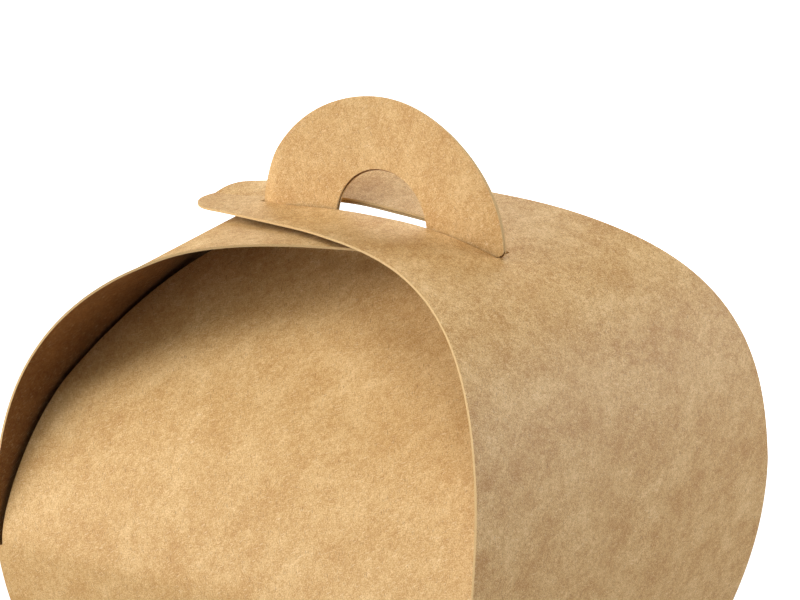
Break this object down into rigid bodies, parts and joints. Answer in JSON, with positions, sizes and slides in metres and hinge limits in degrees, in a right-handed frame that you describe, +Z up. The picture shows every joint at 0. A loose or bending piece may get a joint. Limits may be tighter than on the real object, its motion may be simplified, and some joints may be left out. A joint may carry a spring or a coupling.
{
  "type": "kraft paper carton",
  "caption": "Square-based kraft board cake carton with bulging walls, two arching tongues and a half-round carrying handle that locks them.",
  "frame": {"origin": "middle of the underside of the square base", "axes": "+Z up, -Y the front opening, +X the side whose tongue lies outermost"},
  "size_m": [0.12, 0.12, 0.1417],
  "materials": {
    "kraft_board": "matt uncoated brown kraft board"
  },
  "bodies": {
    "root": {"carton": "kraft_board"}
  },
  "joints": []
}
